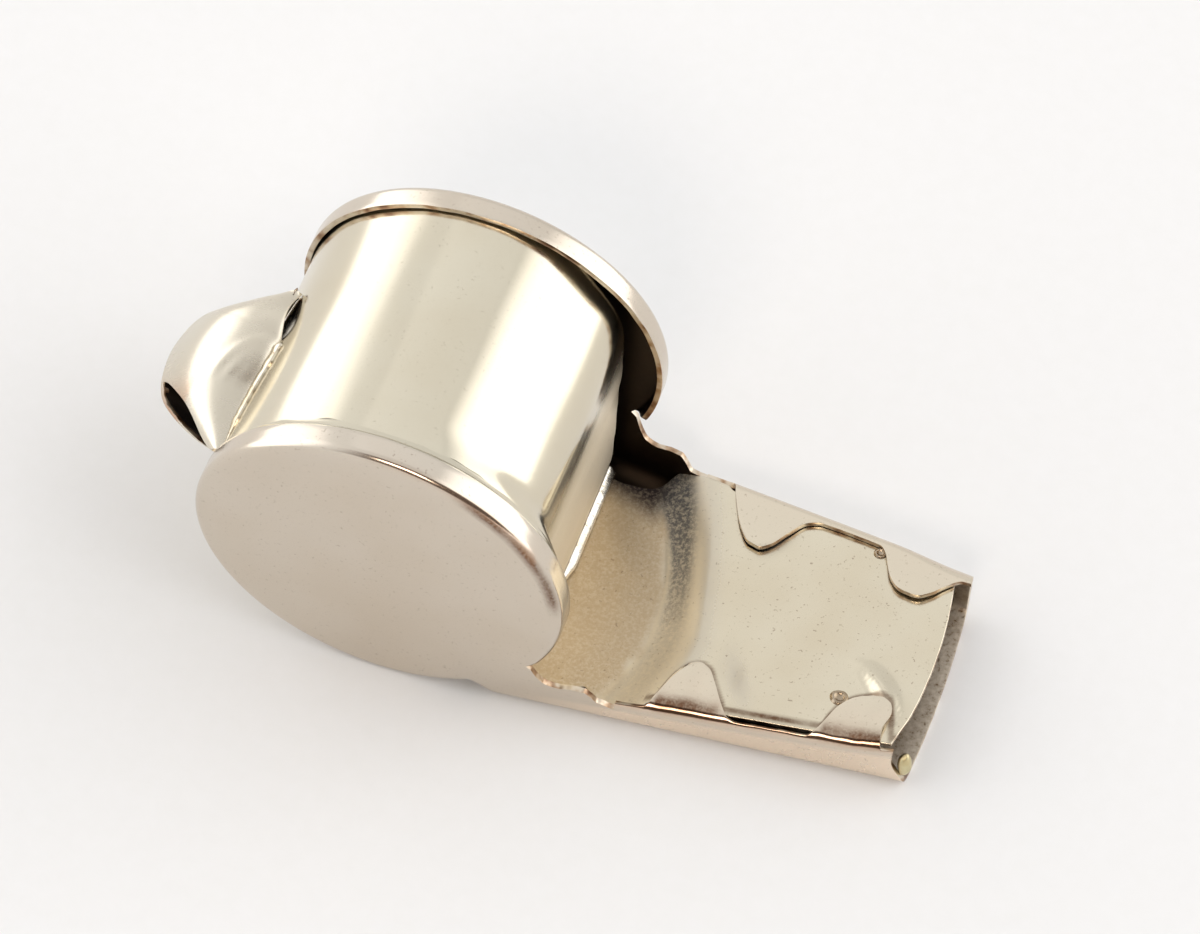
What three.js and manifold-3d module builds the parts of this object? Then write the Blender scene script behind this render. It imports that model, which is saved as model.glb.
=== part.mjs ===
// Pressed sheet-metal pea whistle, millimetres, +Z up.
//
// The whistle lies on the flat side of its mouthpiece, with the mouth towards +X and the axis of the
// drum along Y. The shapes are written about the drum's axis, and the whole group is then moved so
// that its origin is the middle of the bounding box's bottom face.

import * as THREE from 'three';
import { mergeVertices } from 'three/addons/utils/BufferGeometryUtils.js';
import Module from 'manifold-3d';

// Driving dimensions
const sheet = 0.35;            // thickness of every pressed sheet
const gap = 0.15;              // clearance kept between two sheets that lie on each other
const discRadius = 11;         // outside of the drum's two end discs
const halfWidth = 9.4;         // drum axis middle to the outer face of a disc
const rimDepth = 1.6;          // how far a disc's rim is turned over the drum band
const bendRadius = 0.9;        // outside radius of the sheet's bends
const foldRadius = 0.6;        // outside radius of the fold above each side wall
const lipReach = 0.1;          // how far the wall's edge turns in where there is no tab
const mouthX = 30.9;           // drum axis to the mouth end of the body
const mouthHalfWidth = 6.5;
const roofEndX = 30.3;         // drum axis to the mouth end of the windway plate
const stepX = 13;              // behind this the side wall has no fold and the plate is a low shelf
const lugTipX = -15.8;         // drum axis to the tip of the lanyard lug
const windowX = 7.2;           // edge of the sounding window on the mouthpiece side
const lipX = 1.9;              // edge of the sounding window on the drum side
const peaRadius = 4.5;
const peaOrbit = 3.6;          // radius of the pea centre's path around the chamber
const chamberCentreZ = -1.9;   // height of that path's centre from the drum's axis

const bottomZ = -discRadius;
const bandOuter = discRadius - sheet - 2 * gap;
const bandMiddle = bandOuter - sheet / 2;
const middleX = (mouthX + lugTipX) / 2;
const seatRadius = bandOuter + 2 * gap;   // what stands on the drum band is cut to this

// Lanyard lug, from its far end to its near end: its foot on the drum and its lower foot, as degrees
// round the drum and Y, and its outermost line as X, Y and Z
const lugFoot = [[150, 3.1], [148.5, 0.5], [151, -1.4], [156, -3.3], [160, -5.2], [163, -7]];
const lugLower = [[152, 3.1], [160, 2], [167, 0], [171, -2.5], [172, -4.5], [165, -7]];
const lugOuter = [
  [-9.6, 3.1, 5.55],
  [-12.2, 2.6, 3.75],
  [-14.55, 1.55, 2.65],
  [-15.64, 0, 1.35],
  [-15.7, -1.9, 1],
  [-15.2, -3.6, 1.05],
  [-13.85, -5, 1.55],
  [-12.1, -6.2, 2.1],
  [-10.75, -7, 2.8],
];
// The lanyard passes in through the upper face and out through the lower one
const eyes = [
  { x: -12.95, y: -4.5, long: 2.1, short: 0.5, turn: -0.7, bottom: 1.75, top: 5 },
  { x: -12.7, y: 1.1, long: 1.6, short: 0.65, turn: 0.42, bottom: -2, top: 2.5 },
];

// The end disc and the side wall of the mouthpiece are one sheet, bent along a slanting hinge line
const notch = { x: 9.3, z: -5.6 };
const hingeBottomX = 2.5;
const wallTop = [[0, -9.6], [9.3, -5.6], [9.75, -6.9], [10.5, -7.7], [11.7, -7.5], [12.3, -7.6], [13, -8.5]];

// Scalloped tabs folded over the windway plate: start, peak and end along X, and how far each reaches
const nearTabs = [
  { start: 15.8, peak: 17.9, end: 21, reach: 3.5 },
  { start: 25.3, peak: 28.1, end: 30, reach: 3.4 },
];
const farTabs = [
  { start: 15.8, peak: 18.3, end: 22, reach: 4.1 },
  { start: 25.4, peak: 28.2, end: 30.4, reach: 3.5 },
];

const wasm = await Module();
wasm.setup();

// Small helpers

const lerp = (a, b, t) => a + (b - a) * t;

function smooth(t) {
  const c = Math.min(1, Math.max(0, t));
  return c * c * (3 - 2 * c);
}

// Straight-line interpolation in a short list of [x, value] pairs
function along(points, x) {
  const next = points.findIndex((p) => p[0] >= x);
  if (next === 0) return points[0][1];
  if (next < 0) return points[points.length - 1][1];
  const [x0, v0] = points[next - 1];
  const [x1, v1] = points[next];
  return lerp(v0, v1, (x - x0) / (x1 - x0));
}

function bareGeometry(geometry) {
  geometry.deleteAttribute('normal');
  geometry.deleteAttribute('uv');
  return mergeVertices(geometry, 1e-5);
}

function signedVolume(geometry) {
  const at = geometry.attributes.position;
  const index = geometry.index;
  const corner = [new THREE.Vector3(), new THREE.Vector3(), new THREE.Vector3()];
  let sum = 0;
  for (let i = 0; i < index.count; i += 3) {
    corner.forEach((v, k) => v.fromBufferAttribute(at, index.getX(i + k)));
    sum += corner[0].dot(corner[1].cross(corner[2])) / 6;
  }
  return sum;
}

function faceOutwards(geometry) {
  if (signedVolume(geometry) < 0) geometry.index.array.reverse();
  return geometry;
}

// A box whose grid is moved to place(u, v, w), each from 0 to 1: u and v run over a bent sheet, and
// w through its thickness
function bentSheet(uSteps, vSteps, place) {
  const geometry = bareGeometry(new THREE.BoxGeometry(1, 1, 1, uSteps, vSteps, 1));
  const at = geometry.attributes.position;
  for (let i = 0; i < at.count; i += 1) {
    const [x, y, z] = place(at.getX(i) + 0.5, at.getY(i) + 0.5, at.getZ(i) + 0.5);
    at.setXYZ(i, x, y, z);
  }
  return faceOutwards(geometry);
}

// An outline in X and Z, extruded along Y
function prismAlongY(outline, y0, y1) {
  const shape = new THREE.Shape(outline.map(([x, z]) => new THREE.Vector2(x, z)));
  const geometry = new THREE.ExtrudeGeometry(shape, { depth: y1 - y0, bevelEnabled: false });
  geometry.rotateX(Math.PI / 2);
  geometry.translate(0, y1, 0);
  return faceOutwards(bareGeometry(geometry));
}

// An outline in X and Y, extruded along Z
function prismAlongZ(outline, z0, z1) {
  const shape = new THREE.Shape(outline.map(([x, y]) => new THREE.Vector2(x, y)));
  const geometry = new THREE.ExtrudeGeometry(shape, { depth: z1 - z0, bevelEnabled: false });
  geometry.translate(0, 0, z0);
  return faceOutwards(bareGeometry(geometry));
}

function solid(geometry) {
  const vertProperties = new Float32Array(geometry.attributes.position.array);
  const triVerts = new Uint32Array(geometry.index.array);
  return new wasm.Manifold(new wasm.Mesh({ numProp: 3, vertProperties, triVerts }));
}

function geometryOf(manifold) {
  const mesh = manifold.getMesh();
  const geometry = new THREE.BufferGeometry();
  geometry.setAttribute('position', new THREE.BufferAttribute(mesh.vertProperties, 3));
  geometry.setIndex(new THREE.BufferAttribute(mesh.triVerts, 1));
  return geometry;
}

function part(name, geometry, colour, roughness, metalness) {
  const material = new THREE.MeshStandardMaterial({ color: colour, roughness, metalness });
  const mesh = new THREE.Mesh(geometry, material);
  mesh.name = name;
  return mesh;
}

// Body shell: two end discs with turned rims, the mouthpiece floor, its side walls and the tabs

const hingeX = (z) => lerp(hingeBottomX, notch.x, (z - bottomZ) / (notch.z - bottomZ));

function wallY(x, z) {
  const start = hingeX(z);
  return halfWidth - (halfWidth - mouthHalfWidth) * Math.max(0, (x - start) / (mouthX - start));
}

// Top face of the folded tabs, which sinks from the mouth towards the drum
const foldTop = (x) => -6.9 - (mouthX - x) * 0.07;

function tabReach(tabs, x) {
  const roundness = 0.75;
  const rise = (tab) => smooth((x - tab.start) / (tab.peak - tab.start)) ** roundness;
  const fall = (tab) => smooth((tab.end - x) / (tab.end - tab.peak)) ** roundness;
  return Math.max(...tabs.map((tab) => tab.reach * Math.min(rise(tab), fall(tab))));
}

// A point of the mouthpiece's cross-section, followed from the floor's middle line over the lower
// bend, the wall and the fold, at a distance s from the start of the lower bend; depth goes inwards
function sectionPoint(x, s, depth) {
  const lowerArc = bendRadius * Math.PI / 2;
  const wallStart = bottomZ + bendRadius;
  const wallEnd = Math.max(foldTop(x) - foldRadius, wallStart);
  const upright = x < stepX ? discRadius : wallEnd - wallStart;
  const foldArc = foldRadius * Math.PI / 2;
  if (s < 0) return [-(wallY(x, bottomZ) - bendRadius + s), bottomZ + depth];
  if (s < lowerArc) {
    const angle = s / bendRadius;
    const radius = bendRadius - depth;
    const centreY = wallY(x, wallStart) - bendRadius;
    return [-(centreY + radius * Math.sin(angle)), wallStart - radius * Math.cos(angle)];
  }
  if (s < lowerArc + upright) {
    const z = wallStart + s - lowerArc;
    return [-(wallY(x, z) - depth), z];
  }
  const centreY = wallY(x, wallEnd) - foldRadius;
  const radius = foldRadius - depth;
  const over = s - lowerArc - upright;
  if (over < foldArc) {
    const angle = over / foldRadius;
    return [-(centreY + radius * Math.cos(angle)), wallEnd + radius * Math.sin(angle)];
  }
  return [-(centreY - (over - foldArc)), wallEnd + foldRadius - depth];
}

// The two halves of the floor overlap by this on the middle line before they are made one
const middleOverlap = 0.2;

// Places across the sheet, on the scale of sectionPoint: the floor, the lower bend, the wall, the fold
// and the tab, each cut into equal steps
function sectionStations(tabs, x) {
  const lowerArc = bendRadius * Math.PI / 2;
  const wallStart = bottomZ + bendRadius;
  const wallHeight = along(wallTop, x) - wallStart;
  const foldStart = foldTop(x) - foldRadius - wallStart;
  const wallEnd = lowerArc + (x < stepX ? wallHeight : foldStart);
  const reach = (x < stepX ? 0 : tabReach(tabs, x)) + lipReach;
  const foldEnd = wallEnd + Math.min(foldRadius * Math.PI / 2, reach / 2);
  const floorStart = bendRadius - middleOverlap - wallY(x, bottomZ);
  return [[floorStart, 0, 1], [0, lowerArc, 3], [lowerArc, wallEnd, 1], [wallEnd, foldEnd, 3],
    [foldEnd, wallEnd + reach, 1]];
}

// Half of the mouthpiece's channel, from the floor's middle line to the edge of one side's sheet
function channelHalf(tabs, side) {
  const across = sectionStations(tabs, 0).reduce((sum, [, , steps]) => sum + steps, 0);
  return bentSheet(62, across, (u, v, w) => {
    const x = lerp(0, mouthX, u);
    let step = Math.round(v * across);
    const [from, to, steps] = sectionStations(tabs, x).find(([, , count]) => {
      if (step <= count) return true;
      step -= count;
      return false;
    });
    const [y, z] = sectionPoint(x, lerp(from, to, step / steps), w * sheet);
    return [x, y * side, z];
  });
}

function arcPoints(centreX, centreY, radius, from, to, steps) {
  return Array.from({ length: steps + 1 }, (_, i) => {
    const angle = lerp(from, to, i / steps);
    return new THREE.Vector2(centreX + radius * Math.cos(angle), centreY + radius * Math.sin(angle));
  });
}

// End disc with its rim turned towards the middle of the drum; the profile is radius and width
function endDisc(side) {
  const corner = discRadius - bendRadius;
  const outer = arcPoints(corner, halfWidth - bendRadius, bendRadius, Math.PI / 2, 0, 3);
  const inner = arcPoints(corner, halfWidth - bendRadius, bendRadius - sheet, 0, Math.PI / 2, 3);
  const profile = [
    new THREE.Vector2(0, halfWidth),
    ...outer,
    new THREE.Vector2(discRadius, halfWidth - rimDepth),
    new THREE.Vector2(discRadius - sheet, halfWidth - rimDepth),
    ...inner,
    new THREE.Vector2(0, halfWidth - sheet),
    new THREE.Vector2(0, halfWidth),
  ];
  const geometry = bareGeometry(new THREE.LatheGeometry(profile, 60));
  if (side < 0) geometry.scale(1, -1, 1);
  return faceOutwards(geometry);
}

function bodyShell() {
  const overlap = 0.3;
  const belowHinge = prismAlongY([
    [0, -12],
    [12, -12],
    [12, notch.z - overlap],
    [notch.x, notch.z - overlap],
    [0, wallTop[0][1] - overlap],
  ], -10, 10);
  const windowEdge = halfWidth - rimDepth;
  const window = prismAlongZ([
    [-1, -windowEdge],
    [windowX, -windowEdge],
    [windowX, windowEdge],
    [-1, windowEdge],
  ], bottomZ - 1, bottomZ + 0.7);
  const discs = solid(endDisc(-1)).add(solid(endDisc(1))).subtract(solid(belowHinge));
  const channel = solid(channelHalf(nearTabs, 1)).add(solid(channelHalf(farTabs, -1)));
  return geometryOf(discs.add(channel.subtract(solid(window))));
}

// Drum band: a strip that starts at the lip under the drum, runs round the back and over the top, and
// comes down in front to stand on the windway plate

function bandPath() {
  const points = [new THREE.Vector3(lipX, 0, bottomZ + 0.62)];
  const [from, to, steps] = [268, 88, 20];
  for (let i = 0; i <= steps; i += 1) {
    const angle = THREE.MathUtils.degToRad(lerp(from, to, i / steps));
    points.push(new THREE.Vector3(bandMiddle * Math.cos(angle), 0, bandMiddle * Math.sin(angle)));
  }
  const front = [[3.8, 9.05], [6.8, 5.85], [8.1, 2], [8.4, -2], [8.35, -6], [8.2, -8.9]];
  front.forEach(([x, z]) => points.push(new THREE.Vector3(x, 0, z)));
  return new THREE.CatmullRomCurve3(points, false, 'centripetal');
}

function bandHalfWidth(x, z) {
  const onDrum = halfWidth - sheet - gap;
  const inFront = 7.8;
  return lerp(inFront, onDrum, smooth((z + x * -0.5 + 3) / 9));
}

// A strip of sheet that follows a curve in the X-Z plane, with its width given along the way
function stripAlong(curve, steps, widthAt) {
  return bentSheet(steps, 1, (u, v, w) => {
    const p = curve.getPointAt(u);
    const t = curve.getTangentAt(u);
    const y = lerp(-1, 1, v) * widthAt(p.x, p.z);
    const offset = lerp(-0.5, 0.5, w) * sheet;
    return [p.x - t.z * offset, y, p.z + t.x * offset];
  });
}

// Windway plate: the roof under the tabs, a step down behind them, and a low shelf that makes the
// narrow slit above the floor and carries the drum band's foot

function windwayPath() {
  const roofZ = (x) => foldTop(x) - sheet - gap - sheet / 2;
  const points = [
    [windowX, -9.85],
    [9.5, -9.82],
    [11.4, -9.72],
    [12.3, -9.4],
    [13.6, -8.75],
    [14.6, roofZ(14.6)],
    [17, roofZ(17)],
    [roofEndX, roofZ(roofEndX)],
  ];
  const path = points.map(([x, z]) => new THREE.Vector3(x, 0, z));
  return new THREE.CatmullRomCurve3(path, false, 'centripetal');
}

function plateHalfWidth(x) {
  const underTabs = wallY(x, bottomZ + 1) - sheet - 2 * gap;
  const onShelf = 7.3;
  return lerp(onShelf, underTabs, smooth((x - windowX - 3.8) / 2));
}

// Lanyard lug: a hollow hood on the drum's back, open towards the drum, with an eye through its flanks

function onDrum(points, radius) {
  return points.map(([degrees, y]) => {
    const angle = THREE.MathUtils.degToRad(degrees);
    return [radius * Math.cos(angle), y, radius * Math.sin(angle)];
  });
}

function smoothLine(points) {
  return new THREE.CatmullRomCurve3(points.map((p) => new THREE.Vector3(...p)), false, 'centripetal');
}

const footLine = smoothLine(onDrum(lugFoot, seatRadius - gap / 2));
const lowerLine = smoothLine(onDrum(lugLower, seatRadius - gap / 2));
const outerLine = smoothLine(lugOuter);

// The hood's face at a share v from its far to its near end: u runs from the foot over the outermost
// line at 0.5 to the lower foot
function lugFace(u, v) {
  const outer = outerLine.getPointAt(v);
  const upper = u < 0.5;
  const start = (upper ? footLine : lowerLine).getPointAt(v);
  const t = upper ? 2 * u : 2 - 2 * u;
  const bulge = upper ? new THREE.Vector3(-0.12, 0, 0.18) : new THREE.Vector3(-0.05, 0, -0.17);
  bulge.multiplyScalar(start.distanceTo(outer) * Math.sin(Math.PI * t ** 0.8));
  return start.lerp(outer, t).add(bulge);
}

// The hood as a solid reaching into the drum, smaller all round by the inset
function lugBlock(inset) {
  const endShare = inset * 0.09;
  return solid(bentSheet(16, 26, (u, v, w) => {
    const along = lerp(endShare, 1 - endShare, v);
    const face = lugFace(u, along);
    const core = footLine.getPointAt(along).add(lowerLine.getPointAt(along)).multiplyScalar(0.4);
    core.y = face.y;
    const inward = core.clone().sub(face);
    face.addScaledVector(inward.clone().normalize(), inset);
    const point = core.lerp(face, lerp(0.15, 1, w));
    return [point.x, point.y, point.z];
  }));
}

// An upright rod of oval section that cuts one eye
function eyeRod(eye) {
  const outline = Array.from({ length: 20 }, (_, i) => {
    const angle = i * Math.PI / 10;
    const across = new THREE.Vector2(eye.long * Math.cos(angle), eye.short * Math.sin(angle));
    across.rotateAround(new THREE.Vector2(0, 0), eye.turn);
    return [eye.x + across.x, eye.y + across.y];
  });
  return solid(prismAlongZ(outline, eye.bottom, eye.top));
}

function lanyardLug() {
  const drumRoom = solid(bareGeometry(new THREE.CylinderGeometry(seatRadius, seatRadius, 24, 60)));
  const hood = lugBlock(0).subtract(lugBlock(sheet)).subtract(drumRoom);
  return geometryOf(eyes.reduce((left, eye) => left.subtract(eyeRod(eye)), hood));
}

// Solder: a fillet that follows an arc of the drum, and rounded beads

// A three-sided fillet on the drum band; the corners are given by radius and width at each angle
function drumFillet(from, to, steps, lowRadius, height, y0, y1) {
  return bentSheet(steps, 1, (u, v, w) => {
    const angle = THREE.MathUtils.degToRad(lerp(from, to, u));
    const taper = Math.max(0.15, Math.min(1, 12 * u, 12 * (1 - u)));
    const radius = lowRadius + w * height * taper * lerp(1, 0.25, v);
    return [radius * Math.cos(angle), lerp(y0, y1, v), radius * Math.sin(angle)];
  });
}

function bead(x, y, z, radiusX, radiusY, radiusZ) {
  const geometry = bareGeometry(new THREE.SphereGeometry(1, 12, 8));
  geometry.scale(radiusX, radiusY, radiusZ);
  geometry.translate(x, y, z);
  return geometry;
}

// The seam of solder where the drum band stands on the windway plate
function footFillet() {
  const seam = { back: 8.52, front: 9.05, bottom: -9.52, halfLength: 7, backHeight: 0.5, frontHeight: 0.1 };
  return bentSheet(1, 1, (u, v, w) => [
    lerp(seam.back, seam.front, w),
    lerp(-seam.halfLength, seam.halfLength, v),
    seam.bottom + u * lerp(seam.backHeight, seam.frontHeight, w),
  ]);
}

// The lumpy run of solder along the near two thirds of the lug's foot
function lugFillet() {
  const clear = 2.2;              // degrees kept between the run and the hood
  const width = 3;                // degrees
  const crack = 0.36;             // share of the foot, from its far end, that has no solder
  return bentSheet(12, 1, (u, v, w) => {
    const foot = footLine.getPointAt(lerp(crack, 0.94, u));
    const angle = Math.atan2(foot.z, foot.x) - THREE.MathUtils.degToRad(clear + w * width);
    const swell = 0.7 + 0.3 * Math.sin(u * 9);
    const radius = bandOuter + gap + v * lerp(0.5, 0.15, w) * swell;
    return [radius * Math.cos(angle), foot.y, radius * Math.sin(angle)];
  });
}

// Assembly

const plated = [0xcfc8b8, 0.22, 0.95];
const solderGrey = [0xb9b2a2, 0.5, 0.8];

const whistle = new THREE.Group();
whistle.position.set(-middleX, 0, discRadius);
whistle.add(part('body_shell', bodyShell(), ...plated));
whistle.add(part('drum_band', stripAlong(bandPath(), 88, bandHalfWidth), ...plated));
whistle.add(part('windway_plate', stripAlong(windwayPath(), 36, plateHalfWidth), 0xc0b193, 0.35, 0.9));
whistle.add(part('lanyard_lug', lanyardLug(), ...plated));
const pea = bead(0, 0, chamberCentreZ - peaOrbit, peaRadius, peaRadius, peaRadius);
whistle.add(part('pea', pea, 0xb98a5a, 0.9, 0));
whistle.add(part('rim_solder', drumFillet(20, 158, 40, bandOuter + gap, 0.3, -7.65, -7.1), ...solderGrey));
whistle.add(part('lug_solder', lugFillet(), ...solderGrey));
whistle.add(part('foot_solder', footFillet(), ...solderGrey));
whistle.add(part('mouth_solder', bead(29.9, -5.35, -10.05, 0.75, 0.55, 0.5), ...solderGrey));
whistle.add(part('near_tab_bead', bead(25, -6.6, -7.58, 0.45, 0.3, 0.22), ...solderGrey));
whistle.add(part('far_tab_bead', bead(25, 6.6, -7.58, 0.45, 0.3, 0.22), ...solderGrey));

export default whistle;
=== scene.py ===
"""Old nickel-plated pea whistle, lying window side down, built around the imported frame.

Shapes are written in millimetres about the drum's axis, as the sheet-metal worker would measure them:
X towards the mouth, Y across to the far side, Z up. place() turns them into metres in the row's frame.
"""
import math

import bmesh
import bpy
from mathutils import Matrix, Vector, noise


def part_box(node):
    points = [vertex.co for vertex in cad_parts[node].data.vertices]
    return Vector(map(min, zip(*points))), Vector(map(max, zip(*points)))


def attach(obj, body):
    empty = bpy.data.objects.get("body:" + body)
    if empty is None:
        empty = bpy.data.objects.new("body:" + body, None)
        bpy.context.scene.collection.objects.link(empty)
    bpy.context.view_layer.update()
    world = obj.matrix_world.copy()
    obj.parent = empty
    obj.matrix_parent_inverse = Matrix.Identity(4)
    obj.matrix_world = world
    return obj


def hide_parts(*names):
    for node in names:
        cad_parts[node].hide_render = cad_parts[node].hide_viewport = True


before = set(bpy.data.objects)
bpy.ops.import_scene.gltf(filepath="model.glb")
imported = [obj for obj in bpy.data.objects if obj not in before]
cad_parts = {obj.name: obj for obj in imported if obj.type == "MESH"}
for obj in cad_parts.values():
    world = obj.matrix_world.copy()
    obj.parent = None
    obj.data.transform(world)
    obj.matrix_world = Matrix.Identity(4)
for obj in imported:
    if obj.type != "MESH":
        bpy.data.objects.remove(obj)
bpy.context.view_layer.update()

MM = 0.001

# Driving dimensions, read from the frame where it holds them
SHELL_LOW, SHELL_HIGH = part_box("body_shell")
PLATE_LOW, PLATE_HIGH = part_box("windway_plate")
PEA_LOW, PEA_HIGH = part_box("pea")
RADIUS = (SHELL_HIGH.z - SHELL_LOW.z) / 2 / MM
AXIS_X = SHELL_LOW.x / MM + RADIUS
HALF_WIDTH = SHELL_HIGH.y / MM
MOUTH_X = SHELL_HIGH.x / MM - AXIS_X
ROOF_END_X = PLATE_HIGH.x / MM - AXIS_X
WINDOW_X = PLATE_LOW.x / MM - AXIS_X
FLOOR_Z = -RADIUS

SHEET = 0.32            # thickness of the pressed sheet
RIM_BEND = 0.5          # bend radius where the disc turns into its rim
FLOOR_BEND = 1.25       # bend radius between the side wall and the floor
RIM_DEPTH = 1.5         # how far the rim is turned over the drum band
RIM_END = 301           # degrees round the drum where the rim runs into the floor's bend
FLOOR_START_X = 7.0
MOUTH_HALF = 6.5
NOTCH = (9.3, -5.75)    # where the disc's edge meets the top of the side wall
NOTCH_ANGLE = math.degrees(math.atan2(NOTCH[1], NOTCH[0]))
HINGE_BOTTOM_X = 2.5
TAPER_CORNER = 0.045    # softness of the wall's bend at the hinge line, as a share of the wall
SHELF_Z = -9.7
STEP_X = 13.0           # behind this the wall's top is a bare cut edge
FOLD_START_X = 14.0     # from here to the mouth the walls end in a fold
SEAM_GAP = 0.15         # clearance kept where the real sheets touch


# Small helpers

def place(x, y, z):
    """A point in millimetres about the drum's axis, in metres in the row's frame."""
    return Vector(((x + AXIS_X) * MM, y * MM, (z + RADIUS) * MM))


def measured(point):
    """The millimetre coordinates of a point in metres: the inverse of place."""
    return point.x / MM - AXIS_X, point.y / MM, point.z / MM - RADIUS


def lerp(a, b, t):
    return a + (b - a) * t


def smooth(t):
    t = min(1.0, max(0.0, t))
    return t * t * (3 - 2 * t)


def bell(t):
    """1 at t = 0, falling smoothly to almost nothing at 2 either side."""
    return math.exp(-t * t)


def soft_step(t, softness):
    """max(0, t) with a rounded corner."""
    return 0.5 * (t + math.sqrt(t * t + softness * softness))


def wobble(x, y, z, scale, seed=0.0):
    """Smooth noise from -1 to 1 with features about scale millimetres across."""
    return noise.noise(Vector((x / scale + seed, y / scale - seed, z / scale + 2 * seed)))


def span(start, end, count):
    return [lerp(start, end, i / count) for i in range(count + 1)]


def polar(degrees, radius):
    angle = math.radians(degrees)
    return radius * math.cos(angle), radius * math.sin(angle)


def along(points, x):
    """Smooth curve through a short list of (x, value) pairs, without overshoot."""
    if x <= points[0][0]:
        return points[0][1]
    if x >= points[-1][0]:
        return points[-1][1]
    slopes = [(b[1] - a[1]) / (b[0] - a[0]) for a, b in zip(points, points[1:])]
    tangents = [slopes[0]]
    for before, after in zip(slopes, slopes[1:]):
        rising = before * after > 0
        tangents.append(2 * before * after / (before + after) if rising else 0.0)
    tangents.append(slopes[-1])
    i = next(k for k in range(len(slopes)) if x <= points[k + 1][0])
    (x0, v0), (x1, v1) = points[i], points[i + 1]
    width = x1 - x0
    t = (x - x0) / width
    return (v0 * (1 + 2 * t) * (1 - t) ** 2 + tangents[i] * width * t * (1 - t) ** 2
            + v1 * t * t * (3 - 2 * t) - tangents[i + 1] * width * t * t * (1 - t))


def spline(points, count):
    """Catmull-Rom curve through points of any dimension, as count + 1 evenly spaced points."""
    first = tuple(2 * a - b for a, b in zip(points[0], points[1]))
    last = tuple(2 * a - b for a, b in zip(points[-1], points[-2]))
    path = [first, *points, last]
    fine = []
    for p0, p1, p2, p3 in zip(path, path[1:], path[2:], path[3:]):
        for i in range(24):
            t = i / 24
            fine.append(tuple(
                0.5 * (2 * b + (c - a) * t + (2 * a - 5 * b + 4 * c - d) * t * t
                       + (3 * b - a - 3 * c + d) * t ** 3)
                for a, b, c, d in zip(p0, p1, p2, p3)))
    fine.append(tuple(points[-1]))
    lengths = [0.0]
    for a, b in zip(fine, fine[1:]):
        lengths.append(lengths[-1] + math.dist(a, b))
    result, j = [], 0
    for i in range(count + 1):
        want = lengths[-1] * i / count
        while j < len(fine) - 2 and lengths[j + 1] < want:
            j += 1
        t = (want - lengths[j]) / max(1e-9, lengths[j + 1] - lengths[j])
        result.append(tuple(lerp(a, b, min(1.0, t)) for a, b in zip(fine[j], fine[j + 1])))
    return result


def sample(points, t):
    """The point at a share t of the way through a list of points."""
    position = t * (len(points) - 1)
    i = min(int(position), len(points) - 2)
    return tuple(lerp(a, b, position - i) for a, b in zip(points[i], points[i + 1]))


def mesh_object(name, vertices, faces):
    """A smooth-shaded mesh object from points in millimetres; coincident points are joined."""
    mesh = bpy.data.meshes.new(name)
    mesh.from_pydata([place(*v) for v in vertices], [], faces)
    work = bmesh.new()
    work.from_mesh(mesh)
    bmesh.ops.remove_doubles(work, verts=work.verts, dist=2e-6)
    bmesh.ops.dissolve_degenerate(work, edges=work.edges, dist=1e-6)
    bmesh.ops.recalc_face_normals(work, faces=work.faces)
    work.to_mesh(mesh)
    work.free()
    mesh.polygons.foreach_set("use_smooth", [True] * len(mesh.polygons))
    piece = bpy.data.objects.new(name, mesh)
    bpy.context.scene.collection.objects.link(piece)
    return piece


def grid(columns, closed=False):
    """Vertices and quads from a list of equally long columns of points."""
    rows = len(columns[0])
    vertices = [p for column in columns for p in column]
    across = rows if closed else rows - 1
    faces = [
        (i * rows + j, i * rows + (j + 1) % rows, (i + 1) * rows + (j + 1) % rows, (i + 1) * rows + j)
        for i in range(len(columns) - 1)
        for j in range(across)
    ]
    return vertices, faces


def joined(patches):
    """Several (vertices, faces) patches as one."""
    vertices, faces = [], []
    for points, quads in patches:
        base = len(vertices)
        vertices += points
        faces += [tuple(base + k for k in quad) for quad in quads]
    return vertices, faces


def modify(piece, kind, **settings):
    modifier = piece.modifiers.new(kind.title(), kind)
    for key, value in settings.items():
        setattr(modifier, key, value)
    return modifier


def flip_to(piece, outward):
    """Turns the faces so that most of them look the way outward(centre) points."""
    mesh = piece.data
    score = sum(p.area * p.normal.dot(outward(p.center)) for p in mesh.polygons)
    if score < 0:
        mesh.flip_normals()


def make_sheet(piece, outward, edge=0.05):
    """Gives a surface its sheet thickness, inwards from the drawn face, with softened cut edges.
    Material 0 is the face, 1 the cut edge and 2 the inside."""
    flip_to(piece, outward)
    modify(piece, "SOLIDIFY", thickness=SHEET * MM, offset=-1, use_even_offset=False,
           material_offset=2, material_offset_rim=1)
    modify(piece, "BEVEL", width=edge * MM, segments=2, limit_method="ANGLE",
           angle_limit=math.radians(50), harden_normals=False)


def paint(piece, name, rule):
    """Stores rule(x, y, z), with the point in millimetres, as a number on each vertex."""
    values = [min(1.0, max(0.0, rule(*measured(v.co)))) for v in piece.data.vertices]
    layer = piece.data.attributes.new(name, "FLOAT", "POINT")
    layer.data.foreach_set("value", values)


def unit_ball(detail):
    """Vertices and faces of an icosphere of radius 1."""
    work = bmesh.new()
    bmesh.ops.create_icosphere(work, subdivisions=detail, radius=1.0)
    vertices = [v.co.normalized() for v in work.verts]
    faces = [tuple(v.index for v in f.verts) for f in work.faces]
    work.free()
    return vertices, faces


def lump(name, centre, half, seed):
    """A rounded, slightly uneven blob of solder."""
    directions, faces = unit_ball(4)
    vertices = []
    for d in directions:
        swell = 1 + 0.12 * wobble(*d, 0.9, seed)
        vertices.append(tuple(c + h * swell * part for c, h, part in zip(centre, half, d)))
    return mesh_object(name, vertices, faces)


# Body shell: two discs with turned rims, the floor, the side walls and the scalloped tabs

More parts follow.
